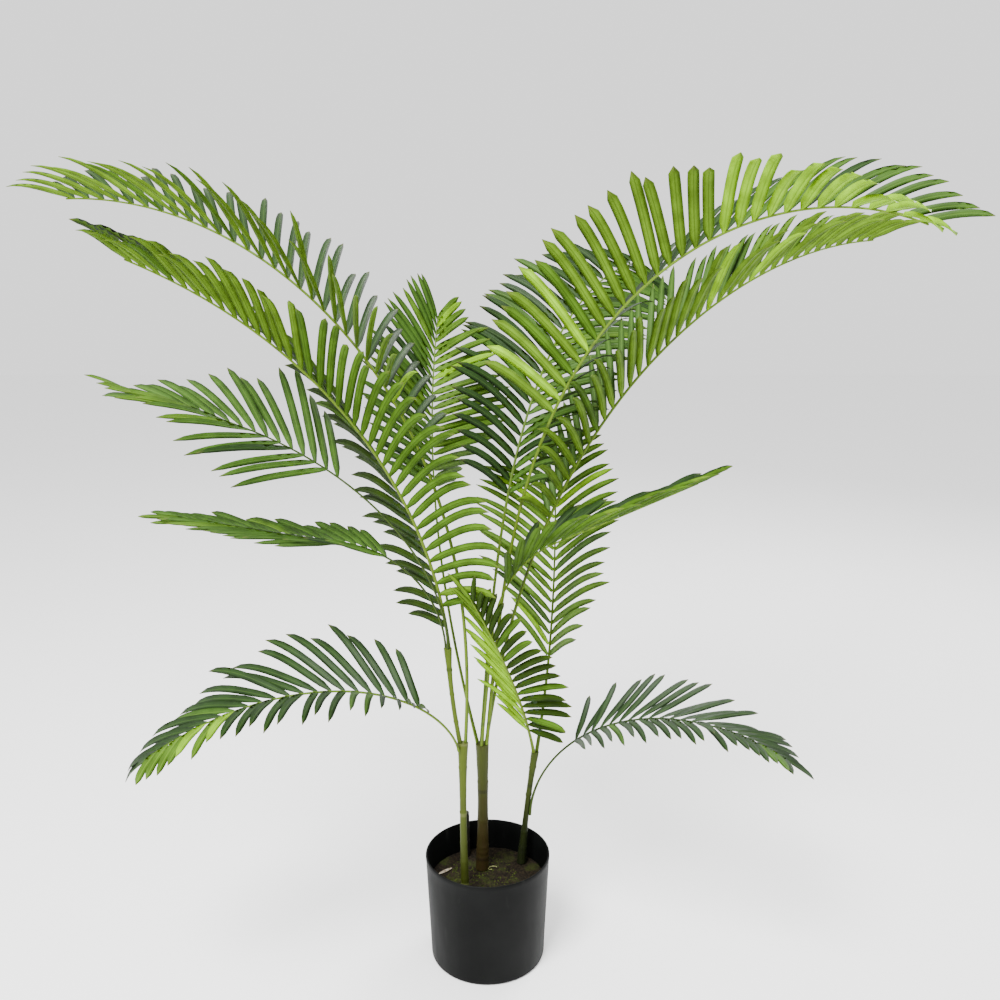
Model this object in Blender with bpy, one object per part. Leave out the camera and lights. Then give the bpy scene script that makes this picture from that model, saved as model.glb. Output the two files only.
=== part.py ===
"""Artificial areca palm in a round nursery pot, true size, in metres, +Z up.

The origin is the centre of the pot's flat underside.  Three plastic stems and a
cut stub stand on a weighted fill.  Thirteen arching fronds rise from the stems;
each frond is one thin solid: a square rib with a row of leaflets on each side.
"""
import math
import random
from collections import namedtuple

import bpy
from mathutils import Vector
from mathutils.bvhtree import BVHTree

MM = 0.001

# --- driving dimensions ------------------------------------------------------
POT_HEIGHT = 133 * MM
POT_RIM_RADIUS = 75 * MM
POT_BASE_RADIUS = 69 * MM
POT_WALL = 2 * MM
POT_FLOOR = 2.5 * MM
POT_EDGE_ROUND = 4 * MM
RIM_ROUND = 0.3
INNER_FOOT_ROUND = 0.7
FILL_TOP = 97 * MM
GAP = 0.3 * MM

ROUND_SIDES = 48
STEM_SIDES = 16
STEM_RINGS = 9
FOOT_EASE = 1.6
HEAD_EASE = 2.2

LEAFLET_KEEL = 1.6 * MM
LEAFLET_WIDTH = 11.5 * MM
LEAFLET_ROOT_WIDTH = 3.6 * MM
LEAFLET_CLEARANCE = 0.6 * MM
STEEPEST_RISE = 80
STATIONS = ((0.2, 0.95), (0.7, 0.9))
LEAFLET_SLIT = 1.45 * MM
WIDEST_AT = 0.4
RIB_ROOM = 1.4
RIB_SLENDER = 0.42
RIB_EASE = 1.2
GUARD_RINGS = 40
PETIOLE_RINGS = 7
CURVE_STEPS = 240
LEAFLET_STEPS = 6

# --- stems: foot and head centres, radii at foot, waist and head ---------------
Stem = namedtuple("Stem", "name foot head bow radii")
STEMS = [
    Stem("stem_left", (-26.0 * MM, -35.0 * MM, FILL_TOP + GAP), (-27.5 * MM, -35.0 * MM, 292 * MM),
         (-1.0 * MM, 0.0), (5.2 * MM, 3.9 * MM, 6.2 * MM)),
    Stem("stem_centre", (-7.0 * MM, 22.0 * MM, FILL_TOP + GAP), (-6.5 * MM, 21.0 * MM, 264 * MM),
         (0.8 * MM, 0.0), (8.2 * MM, 6.3 * MM, 8.3 * MM)),
    Stem("stem_right", (42.0 * MM, 35.0 * MM, FILL_TOP + GAP), (58.0 * MM, 35.0 * MM, 246 * MM),
         (-1.6 * MM, 0.0), (6.2 * MM, 3.4 * MM, 4.9 * MM)),
    Stem("stem_left_limb", (-30.9 * MM, -35.0 * MM, 292 * MM + GAP), (-43.5 * MM, -36.0 * MM, 407 * MM),
         (-2.0 * MM, 0.0), (2.7 * MM, 2.6 * MM, 4.6 * MM)),
    Stem("cut_stub", (-29.0 * MM, 50.0 * MM, FILL_TOP + GAP), (-29.5 * MM, 51.0 * MM, 156 * MM),
         (0.0, 0.0), (6.0 * MM, 5.8 * MM, 5.6 * MM)),
]

# --- fronds ------------------------------------------------------------------
# seat: stem, ring angle in degrees, ring radius, height (None = on the stem's head)
# heading and lift: degrees at the foot and at the tip; bend: exponent, start, end
# rise: angle of a row above the blade's flat plane at its foot and tip
# sweep: angle between leaflet and rib at the blade's foot and tip
# leaflets: longest on the right and on the left of the rib
Frond = namedtuple("Frond", "name seat petiole blade half heading lift bend "
                   "right_rise right_sweep left_rise left_sweep leaflets droop splay pairs")
FRONDS = [
    Frond("frond_right_front", ("stem_centre", 340, 6.0, None), 344, 577, 2.2, (348, 331), (85, -33),
          (2.3, 0, 0.976), (104, -6), (76, 54), (-26, 90), (82, 30), (112, 112), 0.5, -5, 34),
    Frond("frond_left_arch", ("stem_left_limb", 60, 2.9, None), 17, 585, 1.9, (192, 208), (84, 17),
          (1.0, 0, 1), (-28, 52), (76, 26), (40, 32), (78, 22), (130, 118), 0.6, 2, 36),
    Frond("frond_left_top", ("stem_left", 20, 3.2, None), 344, 549, 2.1, (173, 170), (93, -9),
          (1.4, 0, 1), (22, 46), (70, 36), (37, 42), (84, 27), (118, 124), 0.5, 0, 31),
    Frond("frond_right_arch", ("stem_centre", 35, 6.0, None), 279, 625, 2.0, (10, 24), (81, -4),
          (1.45, 0, 1), (60, 30), (72, 62), (30, 98), (44, 27), (114, 110), 0.6, 0, 32),
    Frond("frond_back_right", ("stem_centre", 95, 6.0, None), 297, 485, 1.9, (63, 50), (82, -4),
          (2.0, 0, 1), (14, -50), (50, 54), (60, 12), (56, 64), (116, 118), 0.35, 20, 27),
    Frond("frond_left_middle", ("stem_left_limb", 270, 2.9, None), 134, 350, 1.4, (192, 184), (94, 5),
          (0.65, 0, 1), (66, -14), (80, 27), (-66, 42), (58, 44), (126, 122), 0.25, -4, 23),
    Frond("frond_left_basal", ("stem_left", 235, None, 285), 69, 340, 1.5, (200, 192), (89, -38),
          (0.5, 0, 1), (46, -20), (57, 27), (20, 8), (71, 64), (122, 82), 0.6, 5, 21),
    Frond("frond_right_basal", ("stem_right", 335, None, 163), 123, 285, 1.5, (335, 342), (90, -35),
          (0.8, 0, 1), (-2, 24), (50, 64), (18, -32), (76, 27), (86, 126), 0.25, 12, 21),
    Frond("frond_back_upright", ("stem_right", 45, 2.9, None), 112, 285, 1.7, (52, 102), (75, 84),
          (1.5, 0, 1), (46, 42), (58, 48), (-20, 36), (46, 52), (118, 120), 0.35, 7, 20),
    Frond("frond_centre_upright", ("stem_centre", 170, 6.0, None), 312, 240, 1.7, (145, 70), (73, 70),
          (0.6, 0, 1), (-50, 60), (70, 64), (10, 68), (60, 27), (98, 112), 0.2, 6, 21),
    Frond("frond_right_middle", ("stem_centre", 265, 6.0, None), 204, 280, 1.5, (330, 351), (84, 26),
          (1.1, 0.3, 0.6), (24, 30), (38, 18), (20, 6), (46, 20), (92, 92), 0.3, -1, 18),
    Frond("frond_left_low", ("stem_left_limb", 150, 2.9, None), 123, 260, 1.3, (182, 178), (87, 9),
          (1.0, 0, 0.46), (2, -10), (50, 22), (-4, 4), (24, 20), (84, 84), 0.1, -4, 17),
    Frond("frond_front_small", ("stem_right", 225, 2.9, None), 36, 250, 1.5, (254, 216), (61, 58),
          (1.7, 0, 1), (18, 18), (46, 22), (-10, 46), (78, 14), (74, 70), 0.3, 10, 17),
]
# where each row of a frond begins, as shares of the blade, right and left; 0 unless told here
BARE_FOOT = {"frond_left_middle": (0.0, 0.36), "frond_right_front": (0.12, 0.0)}
SPLIT_PETIOLE = 40
SPLIT_BLADE = 440
BLADE_END = 0.91

# leaflet length, as a share of the longest, at the blade's foot and tip
FOOT_SHARE = 0.58
TIP_SHARE = 0.37
FULLEST_AT = 0.3
# how far a leaflet strays by hand-bending: degrees of rise and of sweep, share of length
STRAY = (6.0, 2.5, 0.06)
# what a leaflet tries, in turn, when its own place is taken: length share, extra rise
LEAFLET_TRIES = [(1.0, 0), (1.0, 8), (1.0, -8), (0.85, 0), (0.85, 14), (0.85, -14),
                 (0.65, 0), (0.65, 20), (0.5, 0)]

# --- finishes ----------------------------------------------------------------
POT_BLACK = ((0.012, 0.014, 0.016), 0.5)
FILL_BROWN = ((0.035, 0.030, 0.018), 0.9)
STEM_GREEN = ((0.10, 0.13, 0.025), 0.5)
STUB_BROWN = ((0.020, 0.018, 0.012), 0.7)
FROND_GREEN = ((0.055, 0.15, 0.018), 0.45)


# --- helpers -----------------------------------------------------------------
def clear_scene():
    """Empty the file of whatever it starts with."""
    for item in list(bpy.data.objects):
        bpy.data.objects.remove(item, do_unlink=True)


def make_material(name, finish):
    """One plain Principled material."""
    colour, roughness = finish
    material = bpy.data.materials.new(name)
    material.use_nodes = True
    shader = material.node_tree.nodes["Principled BSDF"]
    shader.inputs["Base Color"].default_value = (*colour, 1.0)
    shader.inputs["Roughness"].default_value = roughness
    return material


def make_object(name, verts, faces, finish, smooth=False):
    """A named mesh object with its own material."""
    mesh = bpy.data.meshes.new(name)
    mesh.from_pydata([tuple(v) for v in verts], [], faces)
    mesh.validate()
    if smooth:
        for polygon in mesh.polygons:
            polygon.use_smooth = True
    item = bpy.data.objects.new(name, mesh)
    bpy.context.collection.objects.link(item)
    mesh.materials.append(make_material(name + "_finish", finish))
    return item


def loft(rings):
    """Close a stack of equal rings into one body with flat end caps."""
    sides = len(rings[0])
    verts = [v for ring in rings for v in ring]
    faces = [list(range(sides))[::-1]]
    for level in range(len(rings) - 1):
        low = level * sides
        high = low + sides
        for i in range(sides):
            j = (i + 1) % sides
            faces.append([low + i, low + j, high + j, high + i])
    last = (len(rings) - 1) * sides
    faces.append([last + i for i in range(sides)])
    return verts, faces


def lathe(profile, sides):
    """Turn a closed (radius, height) profile that starts and ends on the axis."""
    verts = [Vector((0.0, 0.0, profile[0][1]))]
    for radius, height in profile[1:-1]:
        for i in range(sides):
            angle = 2 * math.pi * i / sides
            verts.append(Vector((radius * math.cos(angle), radius * math.sin(angle), height)))
    verts.append(Vector((0.0, 0.0, profile[-1][1])))
    end = len(verts) - 1
    rows = len(profile) - 2
    faces = []
    for i in range(sides):
        j = (i + 1) % sides
        faces.append([0, 1 + j, 1 + i])
        for row in range(rows - 1):
            low = 1 + row * sides
            high = low + sides
            faces.append([low + i, low + j, high + j, high + i])
        top = 1 + (rows - 1) * sides
        faces.append([top + i, top + j, end])
    return verts, faces


def pot_radius(height):
    """Outer radius of the pot at a height."""
    return POT_BASE_RADIUS + (POT_RIM_RADIUS - POT_BASE_RADIUS) * height / POT_HEIGHT


def build_pot():
    """Thin tapered pot with a rounded foot and a softened rim."""
    edge = POT_EDGE_ROUND
    outer = [(0.0, 0.0), (POT_BASE_RADIUS - edge, 0.0)]
    for step in (1, 2, 3):
        angle = math.pi / 2 * step / 3
        outer.append((pot_radius(edge) - edge + edge * math.sin(angle), edge - edge * math.cos(angle)))
    lip = POT_WALL * RIM_ROUND
    rim = [(POT_RIM_RADIUS, POT_HEIGHT - lip), (POT_RIM_RADIUS - lip, POT_HEIGHT),
           (POT_RIM_RADIUS - POT_WALL + lip, POT_HEIGHT), (POT_RIM_RADIUS - POT_WALL, POT_HEIGHT - lip)]
    inner = [(pot_radius(edge + POT_FLOOR) - POT_WALL, edge + POT_FLOOR),
             (pot_radius(0) - POT_WALL - edge * INNER_FOOT_ROUND, POT_FLOOR), (0.0, POT_FLOOR)]
    verts, faces = lathe(outer + rim + inner, ROUND_SIDES)
    make_object("pot", verts, faces, POT_BLACK, smooth=True)


def build_fill():
    """Weighted fill that the stems stand on, a hair clear of the pot."""
    edge = POT_EDGE_ROUND
    foot = POT_FLOOR + GAP
    shoulder = 1.5 * MM
    profile = [(0.0, foot),
               (pot_radius(0) - POT_WALL - 2 * edge, foot),
               (pot_radius(2 * edge) - POT_WALL - GAP, foot + 2 * edge),
               (pot_radius(FILL_TOP - shoulder) - POT_WALL - GAP, FILL_TOP - shoulder),
               (pot_radius(FILL_TOP) - POT_WALL - GAP - shoulder, FILL_TOP),
               (0.0, FILL_TOP)]
    verts, faces = lathe(profile, ROUND_SIDES)
    make_object("pot_fill", verts, faces, FILL_BROWN)


def stem_axis(stem, share):
    """Centre of a stem at a share of its height, with its slight bow."""
    foot = Vector(stem.foot)
    head = Vector(stem.head)
    bow = Vector((stem.bow[0], stem.bow[1], 0.0)) * 4 * share * (1 - share)
    return foot.lerp(head, share) + bow


def stem_radius(stem, share):
    """Radius from foot through waist to head."""
    foot, waist, head = stem.radii
    if share < 0.5:
        ease = (1 - share * 2) ** FOOT_EASE
        return waist + (foot - waist) * ease
    ease = (share * 2 - 1) ** HEAD_EASE
    return waist + (head - waist) * ease


def build_stem(stem):
    """Tapered round rod cut flat at both ends."""
    rings = []
    for level in range(STEM_RINGS):
        share = level / (STEM_RINGS - 1)
        centre = stem_axis(stem, share)
        radius = stem_radius(stem, share)
        ring = []
        for i in range(STEM_SIDES):
            angle = 2 * math.pi * i / STEM_SIDES
            ring.append(centre + Vector((radius * math.cos(angle), radius * math.sin(angle), 0.0)))
        rings.append(ring)
    verts, faces = loft(rings)
    finish = STUB_BROWN if stem.name == "cut_stub" else STEM_GREEN
    make_object(stem.name, verts, faces, finish, smooth=True)
    triangles = []
    for face in faces:
        for k in range(1, len(face) - 1):
            triangles.append((face[0], face[k], face[k + 1]))
    return verts, triangles


# --- the frond rule ----------------------------------------------------------
def rib_axes(frond, t):
    """Direction, side and upper normal of the rib at a share of its length."""
    heading = math.radians(frond.heading[0] + (frond.heading[1] - frond.heading[0]) * t)
    power, start, end = frond.bend
    eased = min(max((t - start) / (end - start), 0.0), 1.0) ** power
    lift = math.radians(frond.lift[0] + (frond.lift[1] - frond.lift[0]) * eased)
    along = Vector((math.cos(heading) * math.cos(lift), math.sin(heading) * math.cos(lift), math.sin(lift)))
    side = Vector((math.sin(heading), -math.cos(heading), 0.0))
    return along, side, side.cross(along)


def frond_foot(frond):
    """Where the petiole's lower end sits, a hair clear of its stem."""
    name, angle, ring, height = frond.seat
    stem = next(s for s in STEMS if s.name == name)
    half = frond.half * MM
    turn = math.radians(angle)
    outward = Vector((math.cos(turn), math.sin(turn), 0.0))
    if height is None:
        drop = half * abs(math.cos(math.radians(frond.lift[0])))
        return Vector(stem.head) + outward * ring * MM + Vector((0.0, 0.0, GAP + drop))
    share = (height * MM - stem.foot[2]) / (stem.head[2] - stem.foot[2])
    offset = math.radians(angle - frond.heading[0])
    reach = half * (abs(math.cos(offset)) + abs(math.sin(offset)))
    return stem_axis(stem, share) + outward * (stem_radius(stem, share) + GAP + reach)


def rib_curve(frond):
    """Points of the rib from its foot to its tip, at equal steps."""
    length = (frond.petiole + frond.blade) * MM
    point = frond_foot(frond)
    curve = [point.copy()]
    for step in range(CURVE_STEPS):
        along = rib_axes(frond, (step + 0.5) / CURVE_STEPS)[0]
        point = point + along * (length / CURVE_STEPS)
        curve.append(point.copy())
    return curve


def on_curve(curve, t):
    """Point of the rib at a share of its length."""
    place = min(max(t, 0.0), 1.0) * CURVE_STEPS
    low = min(int(place), CURVE_STEPS - 1)
    return curve[low].lerp(curve[low + 1], place - low)


def rib_half(frond, t):
    """Half width of the rib at a share of its length."""
    return frond.half * MM * (1 - (1 - RIB_SLENDER) * t ** RIB_EASE)


def rib_ring(frond, curve, t):
    """Square section: upper right, lower right, lower left, upper left."""
    along, side, normal = rib_axes(frond, t)
    centre = on_curve(curve, t)
    half = rib_half(frond, t)
    return [centre + side * half + normal * half, centre + side * half - normal * half,
            centre - side * half - normal * half, centre - side * half + normal * half]


def length_share(f):
    """Leaflet length along the blade: short at the foot, fullest, then waning."""
    if f < FULLEST_AT:
        return 1 - (1 - FOOT_SHARE) * (1 - f / FULLEST_AT) ** 2
    return 1 - (1 - TIP_SHARE) * ((f - FULLEST_AT) / (1 - FULLEST_AT)) ** 2


def blade_share(frond, f):
    """Share of the whole rib at a share of the blade."""
    start = frond.petiole / (frond.petiole + frond.blade)
    return start + (1 - start) * f


def leaflet_path(frond, curve, pair, row, size, extra, steps):
    """Centre line of one leaflet in equal steps, with its heading in each.

    row is +1 for the right side of the rib and -1 for the left.
    Also gives the rib's direction, the leaflet's upper side and the room between neighbours.
    """
    f = (pair + 0.5) / frond.pairs * BLADE_END
    t = blade_share(frond, f)
    along, side, normal = rib_axes(frond, t)
    rises = frond.right_rise if row > 0 else frond.left_rise
    sweeps = frond.right_sweep if row > 0 else frond.left_sweep
    longest = frond.leaflets[0] if row > 0 else frond.leaflets[1]
    hand = random.Random("%s %d %d" % (frond.name, pair, row))
    stray = [reach * hand.uniform(-1, 1) for reach in STRAY]
    rise = rises[0] + (rises[1] - rises[0]) * f + extra + stray[0]
    rise = math.radians(max(-STEEPEST_RISE, min(STEEPEST_RISE, rise)))
    sweep = sweeps[0] + (sweeps[1] - sweeps[0]) * f + stray[1]
    length = longest * MM * length_share(f) * size * (1 + stray[2])
    outward = side * (row * math.cos(rise)) + normal * math.sin(rise)
    up = side * (-row * math.sin(rise)) + normal * math.cos(rise)
    point = on_curve(curve, t) + side * (row * rib_half(frond, t))
    points = [point.copy()]
    headings = []
    for step in range(steps):
        u = (step + 0.5) / steps
        angle = math.radians(sweep + frond.splay * u)
        heading = along * math.cos(angle) + outward * math.sin(angle)
        heading = (heading - Vector((0.0, 0.0, frond.droop * u * u))).normalized()
        point = point + heading * (length / steps)
        points.append(point.copy())
        headings.append(heading)
    spacing = frond.blade * MM * BLADE_END / frond.pairs
    room = spacing * math.sin(math.radians(sweep + frond.splay * WIDEST_AT))
    return points, headings, along, up, room


def leaflet_axes(heading, along, up):
    """Unit vectors across a leaflet, towards the frond's tip, and out of its upper face."""
    across = (along - heading * along.dot(heading)).normalized()
    face = heading.cross(across)
    return across, -face if face.dot(up) < 0 else face


def leaflet_shape(frond, curve, pair, row, size, extra):
    """Root, two stations, tip, heading and rib direction of one leaflet.

    Each station has its centre, its axes and a width that keeps it off the rib.
    """
    points, headings, along, up, room = leaflet_path(frond, curve, pair, row, size, extra, LEAFLET_STEPS)
    width = min(LEAFLET_WIDTH, room - LEAFLET_SLIT)
    outward = headings[0] - along * along.dot(headings[0])
    stations = []
    for place, share in STATIONS:
        low = int(place * LEAFLET_STEPS)
        centre = points[low].lerp(points[low + 1], place * LEAFLET_STEPS - low)
        across, up = leaflet_axes(headings[low], along, up)
        off_rib = (centre - points[0]).dot(outward.normalized())
        stations.append((centre, across, up, min(width * share, RIB_ROOM * off_rib)))
    return points[0], stations, points[-1], headings[0], along


def station_corners(station, grow):
    """Aft edge, keel and fore edge of a shallow folded section."""
    centre, across, face, width = station
    return [centre - across * (width / 2 + grow) + face * grow,
            centre - face * (LEAFLET_KEEL + grow),
            centre + across * (width / 2 + grow) + face * grow]


def leaflet_guard(shape):
    """A slightly swollen double of a leaflet, for keeping pieces apart."""
    root, stations, tip, heading, along = shape
    start = (root + heading * LEAFLET_CLEARANCE, along, stations[0][2], LEAFLET_ROOT_WIDTH)
    end = tip + (tip - stations[1][0]).normalized() * LEAFLET_CLEARANCE
    verts = []
    for station in [start] + stations:
        verts += station_corners(station, LEAFLET_CLEARANCE)
    verts.append(end)
    triangles = [(0, 1, 2)]
    for i in range(3):
        j = (i + 1) % 3
        for low in (0, 3):
            triangles += [(low + i, low + j, low + 3 + j), (low + i, low + 3 + j, low + 3 + i)]
        triangles.append((6 + i, 6 + j, 9))
    return verts, triangles


def blade_guard(shape):
    """The leaflet beyond its first station, for keeping it off its own rib."""
    root, stations, tip, heading, along = shape
    verts = [corner for station in stations for corner in station_corners(station, GAP)] + [tip]
    triangles = [(0, 1, 2)]
    for i in range(3):
        j = (i + 1) % 3
        triangles += [(i, j, 3 + j), (i, 3 + j, 3 + i), (3 + i, 3 + j, 6)]
    return verts, triangles


class Keeper:
    """Remembers every placed piece and answers whether a new one is clear of them."""

    def __init__(self):
        self.pieces = []

    def add(self, tag, verts, triangles):
        """Remember one piece under a tag."""
        self.pieces.append((tag, self.box(verts), BVHTree.FromPolygons(verts, triangles)))

    def box(self, verts):
        """Lowest and highest corner of a set of points."""
        low = [min(v[k] for v in verts) for k in range(3)]
        high = [max(v[k] for v in verts) for k in range(3)]
        return low, high

    def clear(self, verts, triangles, skip=None, only=None):
        """True when nothing remembered is met, one tag left aside or one tag alone being asked."""
        low, high = self.box(verts)
        tree = None
        for tag, (other_low, other_high), other in self.pieces:
            if tag == skip or (only and tag != only):
                continue
            if any(high[k] < other_low[k] or other_high[k] < low[k] for k in range(3)):
                continue
            if tree is None:
                tree = BVHTree.FromPolygons(verts, triangles)
            if tree.overlap(other):
                return False
        return True


def plain_rib(frond, curve):
    """Rib without leaflets, as a guard for the leaflets of the other fronds."""
    rings = [rib_ring(frond, curve, k / GUARD_RINGS) for k in range(GUARD_RINGS + 1)]
    verts, faces = loft(rings)
    triangles = []
    for face in faces:
        triangles += [(face[0], face[1], face[2]), (face[0], face[2], face[3])]
    return verts, triangles


def plan_leaflets(curves, keeper):
    """Choose each leaflet's size and extra rise; one that finds no clear place is left out."""
    plan = {}
    for frond in FRONDS:
        bare = BARE_FOOT.get(frond.name, (0.0, 0.0))
        for pair in range(frond.pairs):
            for row in (1, -1):
                if (pair + 0.5) / frond.pairs < bare[0 if row > 0 else 1]:
                    continue
                for size, extra in LEAFLET_TRIES:
                    shape = leaflet_shape(frond, curves[frond.name], pair, row, size, extra)
                    verts, triangles = leaflet_guard(shape)
                    own_rib = frond.name + "_rib"
                    others_clear = keeper.clear(verts, triangles, skip=own_rib)
                    if others_clear and keeper.clear(*blade_guard(shape), only=own_rib):
                        keeper.add(frond.name, verts, triangles)
                        plan[(frond.name, pair, row)] = shape
                        break
    return plan


def frond_cuts(frond):
    """Node names of a frond with the stretch of rib each one covers."""
    length = (frond.petiole + frond.blade) * MM
    start = frond.petiole * MM / length
    slit = GAP / 2 / length
    cuts = []
    low = 0.0
    if frond.petiole >= SPLIT_PETIOLE:
        cuts.append((frond.name + "_petiole", 0.0, start - slit))
        low = start + slit
    end = blade_share(frond, BLADE_END)
    if frond.blade < SPLIT_BLADE:
        return cuts + [(frond.name, low, end)]
    middle = blade_share(frond, (frond.pairs // 2) / frond.pairs * BLADE_END)
    return cuts + [(frond.name, low, middle - slit), (frond.name + "_outer", middle + slit, end)]


def add_leaflet(verts, faces, corners, shape, row):
    """Draw one leaflet out of the open side face between two rib rings."""
    root, stations, tip, heading, along = shape
    first = len(verts)
    for station in stations:
        verts += station_corners(station, 0.0)
    verts.append(tip)
    aft, keel, fore = first, first + 1, first + 2
    meets = [aft, keel, keel, fore] if row > 0 else [keel, aft, fore, keel]
    for a in range(4):
        b = (a + 1) % 4
        face = [corners[a], corners[b], meets[b], meets[a]]
        if meets[a] == meets[b]:
            face.pop()
        faces.append(face)
    loop = [aft, keel, fore] if row > 0 else [keel, aft, fore]
    for a in range(3):
        b = (a + 1) % 3
        faces.append([loop[a], loop[b], loop[b] + 3, loop[a] + 3])
        faces.append([loop[a] + 3, loop[b] + 3, first + 6])


def build_frond_part(frond, curve, plan, name, low, high):
    """One closed body: square rib with leaflets drawn out of its side faces."""
    start = frond.petiole / (frond.petiole + frond.blade)
    half_root = LEAFLET_ROOT_WIDTH / 2 / ((frond.petiole + frond.blade) * MM)
    bare_end = min(high, start)
    places = [low]
    if bare_end > low:
        places += [low + (bare_end - low) * k / PETIOLE_RINGS for k in range(1, PETIOLE_RINGS)]
    openings = {}
    for pair in range(frond.pairs):
        centre = blade_share(frond, (pair + 0.5) / frond.pairs * BLADE_END)
        if low < centre < high:
            openings[len(places)] = pair
            places += [centre - half_root, centre + half_root]
    places.append(high)
    verts = []
    for t in places:
        verts += rib_ring(frond, curve, t)
    faces = [[3, 2, 1, 0]]
    for level in range(len(places) - 1):
        ring = level * 4
        pair = openings.get(level)
        for i in range(4):
            j = (i + 1) % 4
            corners = [ring + i, ring + j, ring + 4 + j, ring + 4 + i]
            row = {0: 1, 2: -1}.get(i)
            shape = plan.get((frond.name, pair, row))
            if shape is None:
                faces.append(corners)
            else:
                add_leaflet(verts, faces, corners, shape, row)
    last = (len(places) - 1) * 4
    faces.append([last, last + 1, last + 2, last + 3])
    make_object(name, verts, faces, FROND_GREEN)


clear_scene()
build_pot()
build_fill()
guard = Keeper()
for stem_row in STEMS:
    guard.add(stem_row.name, *build_stem(stem_row))
rib_curves = {row.name: rib_curve(row) for row in FRONDS}
for frond_row in FRONDS:
    guard.add(frond_row.name + "_rib", *plain_rib(frond_row, rib_curves[frond_row.name]))
leaflet_plan = plan_leaflets(rib_curves, guard)
for frond_row in FRONDS:
    for node_name, rib_low, rib_high in frond_cuts(frond_row):
        build_frond_part(frond_row, rib_curves[frond_row.name], leaflet_plan, node_name, rib_low, rib_high)
print("leaflets placed:", len(leaflet_plan), "of", 2 * sum(row.pairs for row in FRONDS))
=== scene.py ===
# %% [markdown]
# # Artificial areca palm in a nursery pot
# The real object is a decoration: fabric leaflets on plastic-coated wire ribs, plastic stems and a
# black nursery pot with a heavy plug, dressed with grit and moss.
# The lesson builds each kind of piece once, as a rule or a node tree, and lets the rule repeat it.

# %% Setup
import math
import random
from collections import namedtuple

import bpy
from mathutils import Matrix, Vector, noise as solid_noise
from mathutils.bvhtree import BVHTree


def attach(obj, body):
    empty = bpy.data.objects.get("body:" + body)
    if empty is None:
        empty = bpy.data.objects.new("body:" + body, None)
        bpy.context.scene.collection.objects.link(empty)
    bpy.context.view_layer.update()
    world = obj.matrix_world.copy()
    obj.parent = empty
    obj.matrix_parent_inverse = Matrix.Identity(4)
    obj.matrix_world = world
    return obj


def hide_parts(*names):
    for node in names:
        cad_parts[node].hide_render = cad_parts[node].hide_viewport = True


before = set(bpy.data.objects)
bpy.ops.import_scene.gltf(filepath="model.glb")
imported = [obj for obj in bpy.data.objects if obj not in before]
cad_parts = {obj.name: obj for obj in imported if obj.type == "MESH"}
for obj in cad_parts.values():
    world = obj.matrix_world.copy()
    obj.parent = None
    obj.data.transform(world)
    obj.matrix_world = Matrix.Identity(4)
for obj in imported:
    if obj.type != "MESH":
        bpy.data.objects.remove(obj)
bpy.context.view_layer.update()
print("frame nodes:", len(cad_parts))

# %% [markdown]
# The driving dimensions are the same as those of the solid model, so that every fine piece keeps
# to the place of the plain one that it stands for.

# %% Dimensions
MM = 0.001

# --- driving dimensions ------------------------------------------------------
POT_HEIGHT = 133 * MM
POT_RIM_RADIUS = 75 * MM
POT_BASE_RADIUS = 69 * MM
POT_WALL = 2 * MM
POT_FLOOR = 2.5 * MM
POT_EDGE_ROUND = 4 * MM
FILL_TOP = 97 * MM
GAP = 0.3 * MM

STEM_SIDES = 16
STEM_RINGS = 9
FOOT_EASE = 1.6
HEAD_EASE = 2.2

LEAFLET_KEEL = 1.6 * MM
LEAFLET_WIDTH = 11.5 * MM
LEAFLET_ROOT_WIDTH = 3.6 * MM
LEAFLET_CLEARANCE = 0.6 * MM
STEEPEST_RISE = 80
STATIONS = ((0.2, 0.95), (0.7, 0.9))
LEAFLET_SLIT = 1.45 * MM
WIDEST_AT = 0.4
RIB_ROOM = 1.4
RIB_SLENDER = 0.42
RIB_EASE = 1.2
GUARD_RINGS = 40
CURVE_STEPS = 240
LEAFLET_STEPS = 6
print("pot", POT_HEIGHT, "m high")

# %% [markdown]
# Three moulded stems and a cut stub stand in the pot.
# A table row per stem holds its ends, its bow and three radii.
# The same table drives the plain solids, the fine stems and the places of the fronds.

# %% Stems, as a table
# --- stems: foot and head centres, radii at foot, waist and head ---------------
Stem = namedtuple("Stem", "name foot head bow radii")
STEMS = [
    Stem("stem_left", (-26.0 * MM, -35.0 * MM, FILL_TOP + GAP), (-27.5 * MM, -35.0 * MM, 292 * MM),
         (-1.0 * MM, 0.0), (5.2 * MM, 3.9 * MM, 6.2 * MM)),
    Stem("stem_centre", (-7.0 * MM, 22.0 * MM, FILL_TOP + GAP), (-6.5 * MM, 21.0 * MM, 264 * MM),
         (0.8 * MM, 0.0), (8.2 * MM, 6.3 * MM, 8.3 * MM)),
    Stem("stem_right", (42.0 * MM, 35.0 * MM, FILL_TOP + GAP), (58.0 * MM, 35.0 * MM, 246 * MM),
         (-1.6 * MM, 0.0), (6.2 * MM, 3.4 * MM, 4.9 * MM)),
    Stem("stem_left_limb", (-30.9 * MM, -35.0 * MM, 292 * MM + GAP), (-43.5 * MM, -36.0 * MM, 407 * MM),
         (-2.0 * MM, 0.0), (2.7 * MM, 2.6 * MM, 4.6 * MM)),
    Stem("cut_stub", (-29.0 * MM, 50.0 * MM, FILL_TOP + GAP), (-29.5 * MM, 51.0 * MM, 156 * MM),
         (0.0, 0.0), (6.0 * MM, 5.8 * MM, 5.6 * MM)),
]
print(len(STEMS), "stems")

# %% [markdown]
# A frond is a wire rib with a row of leaflets on each side.
# One table row per frond gives its seat, its curve and the angles of both rows.
# Angles that run from foot to tip describe a curved frond with few numbers.

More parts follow.
